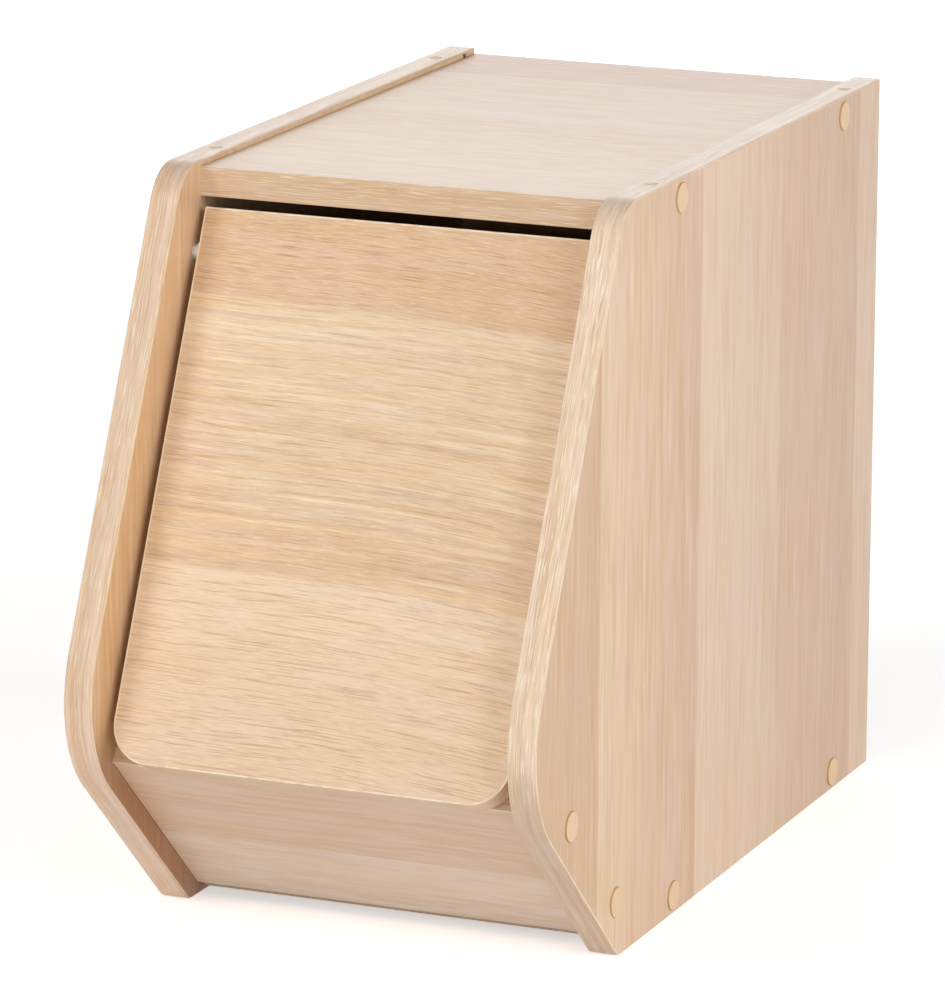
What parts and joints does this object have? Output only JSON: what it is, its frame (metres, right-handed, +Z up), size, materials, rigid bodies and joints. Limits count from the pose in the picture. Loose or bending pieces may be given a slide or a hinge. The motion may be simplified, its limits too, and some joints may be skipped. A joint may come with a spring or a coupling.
{
  "type": "stackable storage box",
  "caption": "Flat-pack storage box of light oak board with shaped sides and a slanting front door that swings up on pivot pins; open dowel sockets let boxes stack.",
  "frame": {"origin": "middle of the box's overall footprint, on the floor that the sides stand on", "axes": "+Z up, the door faces -Y, +X to the right of someone facing the door"},
  "size_m": [0.2012, 0.388, 0.304],
  "materials": {
    "side_laminate": "light oak wood-grain laminate, upright grain",
    "side_edging": "wood-grain edging, grain along the edge",
    "shelf_laminate": "light oak wood-grain laminate, grain from side to side",
    "shelf_edging": "wood-grain edging",
    "apron_laminate": "light oak wood-grain laminate, grain from side to side",
    "apron_edging": "wood-grain edging",
    "door_laminate": "light oak wood-grain laminate, grain from side to side",
    "door_edging": "pale edging",
    "back_hardboard": "thin board with a wood-grain face",
    "bush_nylon": "plain nylon",
    "screw_steel": "zinc-plated",
    "pin_steel": "bright plated steel",
    "cover_plastic": "plain beige",
    "sleeve_plastic": "pale beige"
  },
  "bodies": {
    "case": {"left_side_panel": "side_laminate", "right_side_panel": "side_laminate", "left_side_edge_band": "side_edging", "right_side_edge_band": "side_edging", "top_panel": "shelf_laminate", "top_panel_edge_band": "shelf_edging", "bottom_panel": "shelf_laminate", "bottom_panel_edge_band": "shelf_edging", "apron_panel": "apron_laminate", "apron_edge_band": "apron_edging", "back_panel": "back_hardboard", "left_pivot_bush": "bush_nylon", "right_pivot_bush": "bush_nylon", "top_screws": "screw_steel", "bottom_screws": "screw_steel", "apron_screws": "screw_steel", "left_screw_covers": "cover_plastic", "right_screw_covers": "cover_plastic", "left_stacking_sleeves": "sleeve_plastic", "right_stacking_sleeves": "sleeve_plastic"},
    "door": {"door_panel": "door_laminate", "door_edge_band": "door_edging", "left_pivot_pin": "pin_steel", "right_pivot_pin": "pin_steel"}
  },
  "joints": [
    {"name": "door_hinge", "type": "hinge", "parent": "case", "child": "door", "pos_m": [0, -0.0945, 0.26778], "axis": [-1, 0, 0], "range_deg": [0, 148]}
  ]
}
